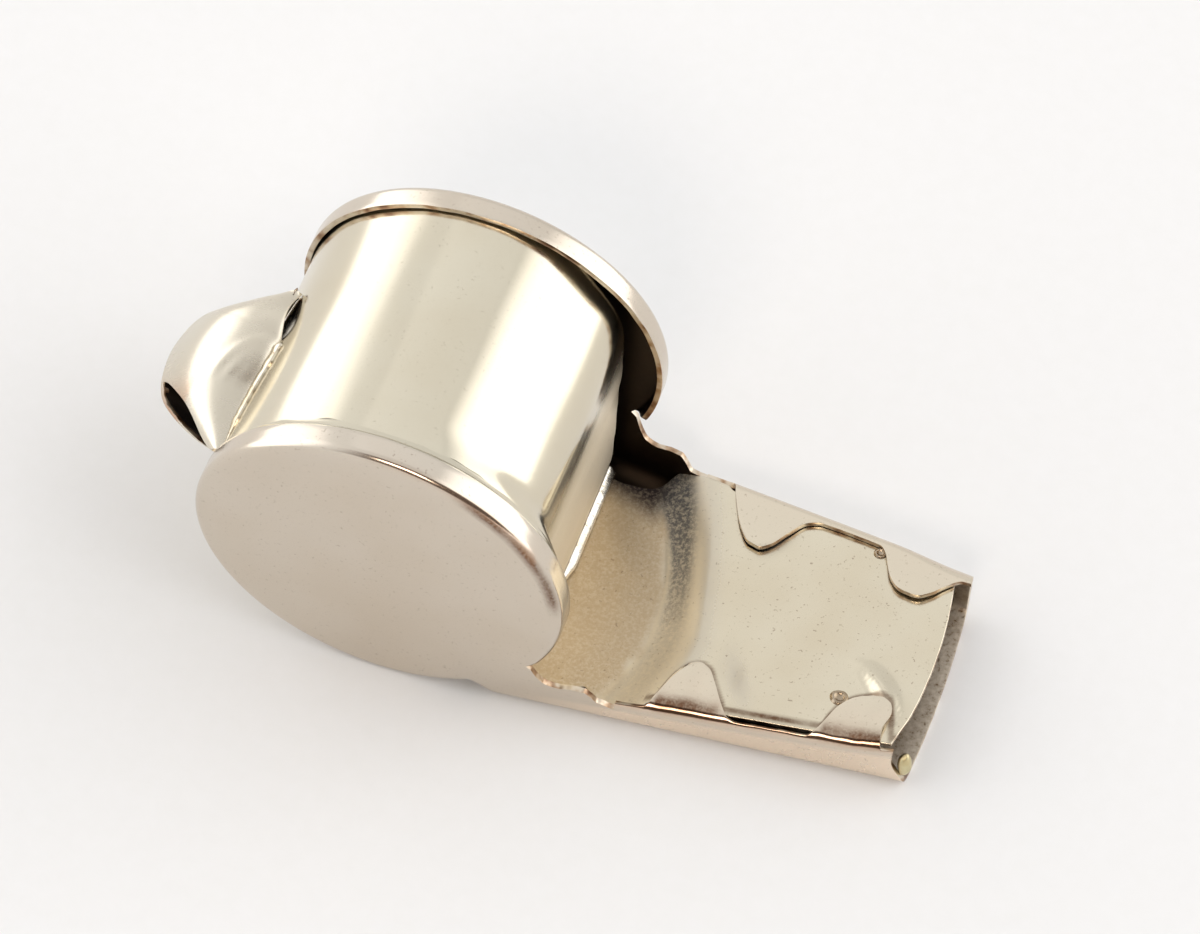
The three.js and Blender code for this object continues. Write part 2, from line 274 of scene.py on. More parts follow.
WALL_TOP = [(9.3, -5.87), (9.62, -6.75), (10.1, -7.5), (10.8, -7.72), (11.7, -7.55), (12.25, -7.58),
            (12.7, -8.0), (13.1, -8.6), (14.0, -8.68)]
# Outlines of the tabs: position along X and how far the sheet reaches beyond the start of the fold
NEAR_TABS = [(14.5, 0.5), (15.7, 0.6), (16.1, 1.4), (16.7, 3.0), (17.4, 3.95), (17.9, 4.1), (18.5, 3.8),
             (19.1, 2.9), (19.9, 1.6), (20.5, 0.8), (21.0, 0.6), (25.0, 0.6), (25.5, 1.1), (26.3, 2.95),
             (27.3, 3.7), (28.3, 3.9), (28.9, 3.6), (29.4, 2.3), (29.8, 1.1), (30.1, 0.4)]
FAR_TABS = [(14.5, 0.1), (15.7, 0.2), (16.1, 1.2), (17.1, 3.2), (17.8, 3.95), (18.5, 4.1), (19.2, 3.6),
            (19.9, 2.5), (20.7, 1.4), (21.6, 1.02), (23.5, 0.98), (25.2, 1.0), (25.6, 1.3), (26.4, 2.8),
            (27.2, 3.4), (28.1, 3.5), (29.0, 2.9), (29.5, 2.3), (30.0, 1.8), (30.4, 1.55), (30.9, 1.5)]
WALL_ROWS = 10
CHANNEL_XS = span(NOTCH[0], MOUTH_X, 240)
FLOOR_XS = [FLOOR_START_X] + span(WINDOW_X, NOTCH[0], 8)
DISC_RINGS = [0.0, 0.12, 0.25, 0.38, 0.5, 0.6, 0.7, 0.78, 0.85, 0.91, 0.96, 1.0]
NEAR_FOLD_BEND = 0.85
FAR_FOLD_BEND = (0.55, 0.95)        # behind the second far tab, and from there to the mouth
TAB_LIFT = {-1: 0.07, 1: 0.10}      # how far the near and far tabs spring up from the roof


def hinge_x(z):
    return lerp(HINGE_BOTTOM_X, NOTCH[0], (z - FLOOR_Z) / (NOTCH[1] - FLOOR_Z))


def wall_y(x, z):
    """Outer face of the disc and the side wall, one sheet that bends at a slanting hinge line."""
    start = hinge_x(z)
    t = (x - start) / (MOUTH_X - start)
    return HALF_WIDTH - (HALF_WIDTH - MOUTH_HALF) * soft_step(t, TAPER_CORNER)


def fold_top(x):
    """Top face of the folded tabs."""
    return -6.9 - (MOUTH_X - x) * 0.07


def fold_radius(x, side):
    """Bend radius of the tabs' fold: wide on the near side (-1), and on the far side (1) by the mouth."""
    if side < 0:
        return NEAR_FOLD_BEND
    return lerp(*FAR_FOLD_BEND, smooth((x - 26) / 4))


def wall_end(x, side):
    """Height where the wall stops, or where its fold starts."""
    folded = fold_top(x) - fold_radius(x, side)
    height = lerp(along(WALL_TOP, x), folded, smooth((x - FOLD_START_X + 0.8) / 0.8))
    if x < STEP_X:
        height += 0.05 * wobble(x, 0, 0, 0.35, 4.0) * smooth((x - NOTCH[0]) / 0.2)
    return height


def mouth_end(x, y, z):
    """The mouth end of the sheet is cut on a slight curve, and its near wall leans back."""
    near_mouth = smooth((x - 27) / (MOUTH_X - 27))
    leaning = 0.85 * smooth((z - FLOOR_Z - 0.4) / 2.2) if y < 0 else 0.0
    return x + near_mouth * (0.3 * (1 - (y / MOUTH_HALF) ** 2) - leaning * smooth((-y - 4) / 1.5))


def rim_stations():
    """Where the sheet's outer bend starts, going round from the notch over the top and the back, and
    on into the floor: the point, the way the bend goes out, its radius and how deep the rim is."""
    stations = []
    for degrees in span(NOTCH_ANGLE, RIM_END, 190):
        point = polar(degrees, RADIUS - RIM_BEND)
        runs_out = lerp(0.06, 1.0, smooth((degrees - NOTCH_ANGLE) / 11))
        ragged = 1 + 0.035 * wobble(*polar(degrees, 6), 0, 0.8, 2.5)
        stations.append((point, polar(degrees, 1), RIM_BEND, RIM_DEPTH * runs_out * ragged))
    start, low = polar(RIM_END, RADIUS - RIM_BEND), FLOOR_Z + FLOOR_BEND
    turn = polar(RIM_END, 1)
    for t in span(0, 1, 10)[1:-1]:
        direction = Vector((lerp(turn[0], 0, t), lerp(turn[1], -1, t))).normalized()
        point = (lerp(start[0], FLOOR_START_X, t), lerp(start[1], low, smooth(t)))
        stations.append((point, tuple(direction), lerp(RIM_BEND, FLOOR_BEND, t), RIM_DEPTH))
    return stations


def bend_column(point, direction, bend, depth, to_middle=False):
    """One column of the turned rim or floor: round the bend, then inwards."""
    x, z = point
    y = wall_y(x, z)
    column = []
    turn = min(1.0, depth / bend)
    for angle in span(0, math.pi / 2 * turn, 9):
        out = bend * math.sin(angle)
        column.append((x + direction[0] * out, -(y - bend * (1 - math.cos(angle))), z + direction[1] * out))
    px, py, pz = column[-1]
    inner = max(0.0, depth - bend)
    column += [(px, py + inner * k / 3, pz) for k in range(1, 4)]
    if to_middle:
        column += [(px, -(y - depth) * (1 - k / 8), pz) for k in range(1, 9)]
    return column


def column_heights(x, side):
    return span(FLOOR_Z + FLOOR_BEND, wall_end(x, side), WALL_ROWS)


def disc_patch(side):
    """The flat disc and the start of the side wall, as rings about the drum's axis."""
    boundary = [point for point, _, _, _ in rim_stations()]
    boundary += [(x, FLOOR_Z + FLOOR_BEND) for x in FLOOR_XS]
    boundary += [(NOTCH[0], z) for z in column_heights(NOTCH[0], side)[1:]]
    columns = [
        [(x * r, -wall_y(x * r, z * r), z * r) for r in DISC_RINGS]
        for x, z in boundary + boundary[:1]
    ]
    return grid(columns)


def rim_patch():
    """The turned rim of the disc, from the notch round to the floor."""
    columns = [bend_column(*station) for station in rim_stations()]
    columns.append(bend_column((FLOOR_START_X, FLOOR_Z + FLOOR_BEND), (0, -1), FLOOR_BEND, RIM_DEPTH))
    return grid(columns)


def floor_patches():
    """The lower bend and the floor, with short cheeks beside the sounding window."""
    low = FLOOR_Z + FLOOR_BEND
    cheek_xs = [x for x in FLOOR_XS if x <= WINDOW_X]
    floor_xs = [x for x in FLOOR_XS if x >= WINDOW_X] + CHANNEL_XS[1:]
    cheeks = [bend_column((x, low), (0, -1), FLOOR_BEND, RIM_DEPTH) for x in cheek_xs]
    floor = [bend_column((x, low), (0, -1), FLOOR_BEND, RIM_DEPTH, True) for x in floor_xs]
    return [grid(cheeks), grid(floor)]


def wall_patch(side):
    return grid([[(x, -wall_y(x, z), z) for z in column_heights(x, side)] for x in CHANNEL_XS])


def fold_patch(tabs, side):
    """The fold above the wall and the tabs, from the place where the wall meets the roof plate. The
    near fold was hammered, so it is uneven."""
    columns = []
    for x in CHANNEL_XS:
        if x < FOLD_START_X:
            continue
        bend = fold_radius(x, side)
        arc = bend * math.pi / 2
        base_z = wall_end(x, side)
        y = wall_y(x, base_z)
        reach = along(tabs, x) * (1 + 0.012 * wobble(x, 0, 0, 0.5, 8.0))
        turned = min(arc, reach)
        column = []
        for s in span(0, turned, 8) + [lerp(turned, reach, k / 6) for k in range(1, 7)]:
            angle = min(s, arc) / bend
            inward = bend * (1 - math.cos(angle)) + max(0.0, s - arc)
            lift = TAB_LIFT[side] * smooth(max(0.0, s - arc) / 2.5)
            uneven = 0.05 * wobble(x, s, side, 1.1, 12.0) * math.sin(angle) if side < 0 else 0.0
            column.append((x, -(y - inward), base_z + bend * math.sin(angle) + lift - uneven))
        columns.append(column)
    return grid(columns)


def dented(x, y, z):
    """Gentle unevenness of hand-pressed sheet, as a shift across the thin direction, and the mouth's cut."""
    side = math.copysign(1, y)
    face = smooth((abs(y) - HALF_WIDTH + 1.2) / 0.8)
    on_disc = smooth((9 - math.hypot(x, z)) / 3)
    wave = 0.05 * wobble(x, 0, z, 7.0, 3.1 + side) + 0.02 * wobble(x, 0, z, 2.4, 7.7 + side)
    return mouth_end(x, y, z), y + side * face * wave * lerp(0.4, 1.0, on_disc), z


def shell_side(tabs, side):
    """One half of the body sheet, near (-1) or far (1), from the middle of the floor to the tabs."""
    patches = [disc_patch(side), rim_patch(), *floor_patches(), wall_patch(side), fold_patch(tabs, side)]
    vertices, faces = joined(patches)
    return [dented(x, side * -y, z) for x, y, z in vertices], faces


def shell_outward(centre):
    x, y, z = measured(centre)
    if x > NOTCH[0]:
        return centre - place(x, 0, -9)
    return centre - place(0, 0, 0)


def shell_wear(x, y, z):
    """Plating worn to copper colour along the bend of the near disc's rim and of the near fold, with a
    stronger copper spot on the rim where the lamp's highlight falls: partly wear, partly a painted highlight.
    """
    if y > 0:
        return 0.0
    if x > STEP_X:
        return 0.6 * bell((fold_top(x) - 0.3 - z) / 0.22)
    if x > NOTCH[0]:
        return 0.0
    radius = math.hypot(x, z)
    degrees = math.degrees(math.atan2(z, x))
    on_bend = bell((radius - RADIUS + 0.22) / 0.2) * bell((abs(y) - HALF_WIDTH + 0.2) / 0.22)
    # Copper spot where the lamp's highlight falls on the rim's bend: partly wear, partly a painted highlight.
    wear_and_highlight_spot = bell((degrees - 77) / 7)
    where = 0.6 * smooth((degrees - 15) / 12) * smooth((105 - degrees) / 25)
    return on_bend * max(where, wear_and_highlight_spot)


def shell_brown_stain_and_reflection(x, y, z):
    """Brown stain on the near side, partly a painted dark reflection: above the bare line along the
    bend of the tabs, and round the front of the disc's rim."""
    if y > 0:
        return 0.0
    patchy = 0.95 + 0.5 * wobble(x, y, z, 1.2, 13.0)
    if x > STEP_X:
        on_tab = smooth(along(NEAR_TABS, x) - 1.2)
        inward = y + wall_y(x, fold_top(x))
        return on_tab * patchy * bell((inward - 0.64) / 0.46) * smooth((z - fold_top(x) + 0.6) / 0.2)
    degrees = math.degrees(math.atan2(z, x))
    on_front = smooth((degrees - 2) / 10) * smooth((68 - degrees) / 14)
    on_bend = bell((math.hypot(x, z) - RADIUS + 0.36) / 0.27) * bell((abs(y) - HALF_WIDTH + 0.08) / 0.2)
    return on_front * patchy * on_bend


def shell_crisp(x, y, z):
    """The bend of the folds, rubbed smoother than the flat sheet."""
    return bell((fold_top(x) - 0.35 - z) / 0.35) if x > STEP_X else 0.0


def shell_tab(x, y, z):
    """The upper faces of the tabs."""
    return smooth((x - FOLD_START_X) / 0.5) * smooth((z - fold_top(x) + 0.3) / 0.25)


def shell_wall_tint_and_painted_light(x, y, z):
    """The side walls of the mouthpiece, painted lighter and pinker than the discs: the pinker tone is their
    own, the extra lightness is painted light.
    """
    return smooth((x - 7) / 8) * smooth((fold_top(x) - 0.75 - z) / 0.4)


def build_shell():
    shell = mesh_object("shell_sheet", *joined([shell_side(NEAR_TABS, -1), shell_side(FAR_TABS, 1)]))
    paint(shell, "wear", shell_wear)
    paint(shell, "crisp", shell_crisp)
    paint(shell, "tab", shell_tab)
    paint(shell, "wall_tint_and_painted_light", shell_wall_tint_and_painted_light)
    paint(shell, "brown", shell_brown_stain_and_reflection)
    make_sheet(shell, shell_outward)
    return shell


# Drum band

BAND_TOP_RADIUS = RADIUS - 0.5
BAND_LIP, BAND_FOOT = 280, -47      # degrees round the drum, from the window's lip over the top to the shelf
# Outer face over the front of the drum, as X and Z: flattened above, then bent down to the shelf
BAND_FRONT = [(-3.5, 9.95), (0, 10.52), (2.0, 10.24), (3.9, 9.5), (5.3, 8.5), (6.8, 7.05), (7.85, 5.75),
              (8.4, 4.5), (8.6, 3.0), (8.6, 1.0), (8.54, -1.0), (8.5, -3.1), (8.45, -6.2), (8.3, -9.1)]
BAND_CURVE = sorted((math.degrees(math.atan2(z, x)), math.hypot(x, z)) for x, z in BAND_FRONT)
BAND_WIDTHS = [(-47, 7.5), (-15, 7.65), (0, 7.75), (20, 7.85), (40, 8.2), (60, 8.6), (90, 8.93)]


def band_radius(degrees, y):
    """Outer face of the band: it flares on the near side to meet the rim that it is soldered to."""
    radius = along(BAND_CURVE, degrees)
    near = smooth((-y - 5.2) / 2.4)
    front = smooth((degrees + 35) / 20)
    return lerp(radius, max(radius, BAND_TOP_RADIUS), near * front)


def band_half_width(degrees, side):
    """The band is narrower at its front, where it stands inside the mouthpiece walls. On the near side
    it reaches the disc almost down to the shelf."""
    if side < 0 and degrees > -25:
        return HALF_WIDTH - SHEET - SEAM_GAP
    return along(BAND_WIDTHS, degrees)


def build_band():
    columns = []
    for degrees in span(BAND_LIP, BAND_FOOT, 330):
        column = []
        for share in span(-1, 1, 56):
            y = share * band_half_width(degrees, math.copysign(1, share))
            radius = band_radius(degrees, y)
            ripple = 0.03 * wobble(degrees / 6, y * 0.35, 0, 2.2, 1.7)
            x, z = polar(degrees, radius + ripple)
            column.append((x, y, z))
        columns.append(column)
    band = mesh_object("band_sheet", *grid(columns))
    # The band's lower front is painted lighter and duller: the dullness is tarnish, the lighter colour is
    # painted light that evens out a dark reflection there.
    paint(band, "foot", lambda x, y, z: smooth((4.0 - z) / 5) * smooth((x - 5) / 2))
    make_sheet(band, lambda centre: centre - place(0, centre.y / MM, 0))
    return band


# Windway plate

ROOF_DROP = SHEET + 0.07
STEP_BASE = [(-7.5, 13.2), (-2.8, 14.5), (0.7, 14.2), (4.0, 13.1), (6.4, 11.8), (8.3, 10.9)]
STEP_TOP = [(-7.5, 15.2), (-3.0, 16.1), (0.4, 15.5), (3.1, 14.9), (5.8, 14.1), (8.3, 13.1)]
DENT = [(26.6, -1.6), (27.3, -1.9), (28.2, -2.6), (29.05, -3.7), (29.6, -4.9)]
DENT_STEPS = 24
DENT_REACH = (1.6, 2.1)                # how far before and beside the crease's start the dent still shows
HOLLOW = (19.75, -4.0, 0.75, 1.5)      # a shallow dent: X, Y and its half sizes
SHELF_WIDTHS = [(8, 7.2), (9.5, 6.75), (11, 6.9), (12.4, 8.0)]      # the shelf's far half width along X
DARK_BAND = [(-6, 0.12), (-2.5, 0.25), (0, 0.6), (3, 0.9), (6, 1.0)]     # strength of the dark band along Y


def plate_half_width(x, side):
    """Half width on each side (-1 near, 1 far): the shelf stops short of the walls, the step reaches
    over them and the roof runs under the folds."""
    inside = wall_y(x, FLOOR_Z + 2) - SHEET
    shelf = 7.6 if side < 0 else along(SHELF_WIDTHS, x)
    shelf += 0.06 * wobble(x, side, 0, 0.6, 6.0)
    on_step = inside + 0.12
    inner_bend = fold_radius(x, side) - SHEET
    room = math.sqrt(max(0.0, inner_bend ** 2 - (inner_bend + SHEET - ROOF_DROP) ** 2))
    under_fold = inside - inner_bend + room - 0.06
    gap = 0.55 * bell((x - 12.1) / 0.55) if side < 0 else 0.0
    width = lerp(shelf, on_step, smooth((x - 11.6) / 1.2)) - gap
    return lerp(width, under_fold, smooth((x - 15.4) / 0.5))


def dent_height(x, y):
    """A shallow crease in the roof beside the near tab at the mouth."""
    crease = spline(DENT, DENT_STEPS)
    distance, step = min((math.dist((x, y), p), i) for i, p in enumerate(crease))
    strength = math.sin(math.pi * (0.08 + 0.84 * step / DENT_STEPS))
    return 0.4 * strength * bell(distance / 0.62)


def plate_height(x, y):
    """Top face of the plate: roof, step and low shelf."""
    roof = fold_top(x) - ROOF_DROP
    shelf = SHELF_Z + 0.03 * (x - 8)
    base, top = along(STEP_BASE, y), along(STEP_TOP, y)
    rise = smooth((x - base + 0.3) / (top - base + 1.5))
    creases = 0.04 * wobble(x, y, 0, 4.0, 2.2) + 0.015 * wobble(x, y, 0, 1.5, 5.5)
    height = lerp(shelf, roof, rise) + creases
    if x > DENT[0][0] - DENT_REACH[0] and y < DENT[0][1] + DENT_REACH[1]:
        height += dent_height(x, y)
    return height - 0.12 * bell((x - HOLLOW[0]) / HOLLOW[2]) * bell((y - HOLLOW[1]) / HOLLOW[3])


def plate_end(y):
    """The roof's curved end at the mouth."""
    return ROOF_END_X - 0.35 + 0.6 * (1 - (y / 6) ** 2) - 0.15 * smooth((-y - 4) / 2)


def plate_haze(x, y, z):
    """Dull tarnish that fades out from the step over the first part of the roof, and a darker, duller
    oval patch beside the near tab."""
    base, top = along(STEP_BASE, y), along(STEP_TOP, y)
    behind_tab = 0.9 * bell((x - 19.4 - 0.5 * (-3 - y)) / 0.65) * bell((y + 4.6) / 1.5)
    return max(behind_tab, smooth((x - base + 0.4) / 0.6) * smooth((top + 2.6 - x) / 2.4))


def plate_dark_band(x, y, z):
    """Dark speckled band on the rise of the step, strongest on the far side."""
    base, top = along(STEP_BASE, y), along(STEP_TOP, y)
    across = smooth((x - base + 0.15) / 0.5) * smooth((top + 0.5 - x) / 0.9)
    return across * along(DARK_BAND, y)


def plate_tarnish(x, y, z):
    """Brown tarnish of the shelf, ending at the foot of the step."""
    base = along(STEP_BASE, y)
    return smooth((base + 0.25 + 0.4 * wobble(x, y, 0, 1.2, 9.1) - x) / 0.9)


def near_tab_edge(x):
    """Y of the near tabs' outline."""
    reach = max(0.0, along(NEAR_TABS, x) - NEAR_FOLD_BEND * math.pi / 2)
    return NEAR_FOLD_BEND + reach - wall_y(x, fold_top(x))


def plate_line(x, y, z):
    """Thin dark brown line on the roof, following the near tabs' outline from just outside it."""
    if x < FOLD_START_X + 1.5 or y > 0:
        return 0.0
    step = 0.15
    slope = (near_tab_edge(x + step) - near_tab_edge(x - step)) / (2 * step)
    distance = (y - 0.3 - near_tab_edge(x)) / math.hypot(1, slope)
    patchy = 0.8 + 0.4 * wobble(x, y, 0, 1.3, 4.4)
    return patchy * smooth((distance + 0.35) / 0.2) * smooth((0.24 - distance) / 0.2)


def plate_shade(x, y, z):
    """Painted shade, partly grime: darkening near the far wall, where the shelf drops into the gap, and a
    painted shadow under the first far tab.
    """
    under_tab = bell((x - 19.3 - 0.35 * (y - 5)) / 0.55) * bell((y - 5.3) / 0.9)
    in_gap = smooth((y - 4.6 + 0.35 * (x - 10)) / 2.2) * smooth((13.0 - x) / 1.6)
    return max(in_gap, 0.85 * under_tab)


def build_plate():
    """The roof, the step and the shelf as one sheet."""
    columns = []
    for u in span(0, 1, 280):
        column = []
        for v in span(-1, 1, 90):
            x = lerp(WINDOW_X, plate_end(v * 6), u)
            y = v * plate_half_width(x, math.copysign(1, v))
            column.append((x, y, plate_height(x, y)))
        columns.append(column)
    plate = mesh_object("plate_sheet", *grid(columns))
    paint(plate, "haze", plate_haze)
    paint(plate, "dark_band", plate_dark_band)
    paint(plate, "tarnish", plate_tarnish)
    paint(plate, "line", plate_line)
    paint(plate, "shade", plate_shade)
    make_sheet(plate, lambda centre: Vector((0, 0, 1)))
    return plate


# Lanyard lug: a pressed hood lofted between its foot on the drum, its outermost line and its lower
# foot. Stations run from the far side to the near side.

LUG_RADIUS = 10.56
LUG_FOOT = [(150, 3.1), (148.5, 0.5), (151, -1.4), (156, -3.3), (160, -5.2), (163, -7.0)]
LUG_OUTER = [(-9.6, 3.1, 5.55), (-12.2, 2.6, 3.75), (-14.55, 1.55, 2.65), (-15.72, 0.0, 1.35),
             (-15.78, -1.9, 1.0), (-15.2, -3.6, 1.05), (-13.85, -5.0, 1.55), (-12.1, -6.2, 2.1),
             (-10.75, -7.0, 2.8)]
LUG_LOWER = [(152, 3.1), (160, 2.0), (167, 0.0), (171, -2.5), (172, -4.5), (165, -7.0)]
LUG_STATIONS = 120
LUG_CRACK = 0.33        # share of the foot, from the far end, that stands clear of the drum
NEAR_EYE = (0.62, 0.97, 0.29)   # first and last station share, and depth across the hood
FAR_EYE = (0.08, 0.44, 0.42)
EYE_RIM = 0.955         # share of the upper face where the near eye's thin outer rim starts


def on_drum(points):
    return [(*polar(degrees, LUG_RADIUS), y) for degrees, y in points]


def eye_share(eye, v, power=0.6):
    """How far the eye reaches across the hood at station share v; 0 outside the eye."""
    start, end, depth = eye
    t = (v - start) / (end - start)
    return depth * math.sin(math.pi * t) ** power if 0 < t < 1 else 0.0


def lug_ridges(u, v):
    """Wrinkles that fan out from the end of the crack along the foot."""
    fan = (v - LUG_CRACK) / 0.3
    window = smooth(fan / 0.25) * smooth((1.15 - fan) / 0.4)
    ridges = sum(bell((u - spread * (0.25 + 0.75 * fan)) / 0.035) for spread in (0.08, 0.18, 0.3))
    return 0.09 * window * ridges


def lug_columns():
    """For each station: the upper face to the eye, the rim strip with the start of the lower face,
    and the rest of the lower face beyond the far eye."""
    count = LUG_STATIONS
    foot = spline([(x, y, z) for x, z, y in on_drum(LUG_FOOT)], count)
    outer = spline(LUG_OUTER, count)
    lower = spline([(x, y, z) for x, z, y in on_drum(LUG_LOWER)], count)
    upper_face, rim_strip, lower_face = [], [], []
    for i in range(count + 1):
        v = i / count
        lift = 0.42 * math.sin(math.pi * v / LUG_CRACK) if v < LUG_CRACK else 0.0
        f, e, g = Vector(foot[i]), Vector(outer[i]), Vector(lower[i])
        f += Vector((f.x, 0, f.z)).normalized() * lift
        top_bulge = Vector((-0.55, 0, 0.83)) * 0.22 * (e - f).length
        low_bulge = Vector((-0.3, 0, -0.95)) * 0.18 * (e - g).length

        def above(u):
            out = math.sin(math.pi * u ** 0.8) + lug_ridges(u, v) / max(0.3, 0.22 * (e - f).length)
            return tuple(f.lerp(e, u) + top_bulge * out)

        def below(w):
            return tuple(e.lerp(g, w) + low_bulge * math.sin(math.pi * w ** 1.1))

        ragged = 0.02 * wobble(v * 30, 0, 0, 1.0, 5.0)
        near = eye_share(NEAR_EYE, v)
        far = eye_share(FAR_EYE, v)
        upper_face.append([above(u) for u in span(0, EYE_RIM - near, 34)])
        rim = EYE_RIM + (ragged if near > 0.03 else 0.0)
        rim_strip.append([above(u) for u in span(rim, 1, 4)]
                         + [below(w) for w in span(0, 0.12, 4)[1:]])
        lower_face.append([below(w) for w in span(0.12 + far, 1, 20)])
    return upper_face, rim_strip, lower_face


def lug_wear(x, y, z):
    """Plating worn off round the near eye."""
    return 0.8 * bell((y + 5) / 1.6) * smooth((-13.2 - x + 0.3 * (y + 5)) / 0.5)


def build_lug():
    lug = mesh_object("lug_hood", *joined([grid(columns) for columns in lug_columns()]))
    paint(lug, "wear", lug_wear)
    make_sheet(lug, lambda centre: centre - place(-9.5, -2, 1.5), edge=0.03)
    return lug


# Pea

def build_pea():
    """A cork ball with the pits and flats of natural cork."""
    directions, faces = unit_ball(5)
    centre = (PEA_LOW + PEA_HIGH) / 2
    radius = (PEA_HIGH.x - PEA_LOW.x) / 2
    vertices = []
    for d in directions:
        lumps = 0.02 * noise.noise(d * 2.2) + 0.012 * noise.noise(d * 7)
        pit = max(0.0, noise.noise(d * 5 + Vector((9, 2, 4))) - 0.35) * 0.14
        vertices.append(measured(centre + d * radius * (0.985 + lumps - pit)))
    return mesh_object("cork_ball", vertices, faces)


# Solder

RIM_RUN = (8, 172)                  # degrees round the drum that the near rim is soldered along
SEAM_BACK_X, SEAM_X = 8.18, 8.3     # the seam at the band's foot: its back and where its ridge starts
SEAM_FOOT_Z, SEAM_TOP_Z = -9.62, -9.18
LUG_RUN_END = 0.97                  # share of the lug's foot where its solder stops
BEADS = {-1: (26.1, -3.95, 0.56), 1: (25.35, 6.15, 0.4)}    # near and far bubble: X, Y and radius
BLOB_CENTRE, BLOB_HALF = (30.75, -6.0, -9.0), (0.42, 0.42, 0.95)


def swept(name, stations, profile):
    """A closed bead: at each station, profile gives the closed cross-section as 3-D points."""
    columns = [profile(t) for t in stations]
    vertices, faces = grid(columns, closed=True)
    rows = len(columns[0])
    last = (len(columns) - 1) * rows
    faces.append(tuple(range(rows)))
    faces.append(tuple(last + j for j in reversed(range(rows))))
    return mesh_object(name, vertices, faces)


def build_rim_solder():
    """Fillet that runs from the near rim's free edge down onto the drum band."""

    def section(degrees):
        fade = smooth((degrees - RIM_RUN[0]) / 14) * smooth((RIM_RUN[1] - degrees) / 14)
        ring = []
        for a in span(0, math.pi / 2, 6):
            y = -HALF_WIDTH + RIM_DEPTH + 0.12 + 0.75 * (1 - math.cos(a)) * fade
            drum = band_radius(degrees, y)
            radius = drum + lerp(0.02, -0.02, math.sin(a)) + (RADIUS - 0.12 - drum) * (1 - math.sin(a)) * fade
            ring.append((y, radius + 0.012 * wobble(degrees / 5, y, 0, 1.5, 3.0)))
        ring += [(y, band_radius(degrees, y) - 0.05) for y in (ring[-1][0], ring[0][0])]
        return [(polar(degrees, r)[0], y, polar(degrees, r)[1]) for y, r in ring]

    return swept("rim_solder_fillet", span(*RIM_RUN, 150), section)


def build_foot_solder():
    """Seam along the foot of the drum band on the shelf: a bright ridge with a flat facing up."""

    def section(y):
        grain = 0.03 * wobble(0, y, 0, 0.7, 1.3)
        thin = lerp(0.35, 1.0, smooth((y + 1.2) / 1.6)) * smooth((7.45 - y) / 0.3 + 0.2)
        ring = [(SEAM_BACK_X, SEAM_FOOT_Z), (SEAM_BACK_X, SEAM_TOP_Z - 0.02)]
        for s in span(0, 1, 5):
            crown = 0.035 * math.sin(math.pi * s) + grain
            ring.append((SEAM_X + 0.42 * thin * s, SEAM_TOP_Z - 0.34 * thin * s + crown))
        ring.append((SEAM_X + 0.1 + 0.38 * thin, SEAM_FOOT_Z))
        return [(x, y, z) for x, z in ring]

    return swept("foot_solder_seam", span(-7.2, 7.4, 120), section)


def build_lug_solder():
    """Lumpy run of solder between the hood's foot and the drum."""
    foot = spline([(x, y, z) for x, z, y in on_drum(LUG_FOOT)], 60)

    def section(v):
        centre = Vector(sample(foot, v))
        out = Vector((centre.x, 0, centre.z)).normalized()
        along_drum = Vector((out.z, 0, -out.x))
        fade = smooth((v - LUG_CRACK) / 0.05) * smooth((LUG_RUN_END - v) / 0.15)
        lumpy = 1 + 0.3 * wobble(0, v * 40, 0, 2.0, 6.0)
        width, height = 0.42 * fade * lumpy + 0.05, 0.2 * fade * lumpy + 0.03
        ring = []
        for a in span(0, 2 * math.pi, 12)[:-1]:
            across = along_drum * (width * math.cos(a) + 0.12)
            ring.append(tuple(centre + across + out * (height * math.sin(a))))
        return ring

    return swept("lug_solder_run", span(LUG_CRACK, LUG_RUN_END, 90), section)


def build_tab_bead(name, side):
    """A burst solder bubble on the roof plate beside a tab: a low ring with a sunken middle."""
    centre_x, centre_y, full_radius = BEADS[side]
    ground = plate_height(centre_x, centre_y)
    columns = []
    for angle in span(0, 2 * math.pi, 28):
        across, along_y = math.cos(angle), math.sin(angle)
        uneven = 1 + 0.1 * wobble(across, along_y, 0, 1.0, 3 + side)
        column = []
        for r in span(0, 1, 12):
            height = 0.13 * bell((r - 0.62) / 0.22) + 0.02 - 0.1 * smooth((r - 0.8) / 0.2)
            radius = full_radius * r * uneven
            column.append((centre_x + radius * across * 1.1, centre_y + radius * along_y, ground + height))
        columns.append(column)
    bead = mesh_object(name, *grid(columns))
    flip_to(bead, lambda centre: Vector((0, 0, 1)))
    modify(bead, "SOLIDIFY", thickness=0.04 * MM, offset=-1)
    return bead


# Materials

def new_material(name):
    material = bpy.data.materials.new(name)
    material.use_nodes = True
    tree = material.node_tree
    return material, tree, tree.nodes["Principled BSDF"]


def node(tree, kind, inputs=None, **settings):
    made = tree.nodes.new(kind)
    for key, value in settings.items():
        setattr(made, key, value)
    for key, value in (inputs or {}).items():
        if isinstance(value, bpy.types.NodeSocket):
            tree.links.new(value, made.inputs[key])
        else:
            made.inputs[key].default_value = value
    return made


def noise_value(tree, scale_mm, detail=3.0, roughness=0.5, stretch=(1, 1, 1)):
    """Procedural noise, about scale_mm across a feature."""
    coordinates = node(tree, "ShaderNodeTexCoord").outputs["Object"]
    mapping = node(tree, "ShaderNodeMapping", {"Vector": coordinates, "Scale": stretch})
    made = node(tree, "ShaderNodeTexNoise", {"Vector": mapping.outputs["Vector"], "Scale": 1000 / scale_mm,
                                             "Detail": detail, "Roughness": roughness})
    return made.outputs["Fac"]


def painted(tree, name):
    return node(tree, "ShaderNodeAttribute", attribute_name=name).outputs["Fac"]


def calculate(tree, operation, a, b):
    return node(tree, "ShaderNodeMath", {0: a, 1: b}, operation=operation).outputs["Value"]


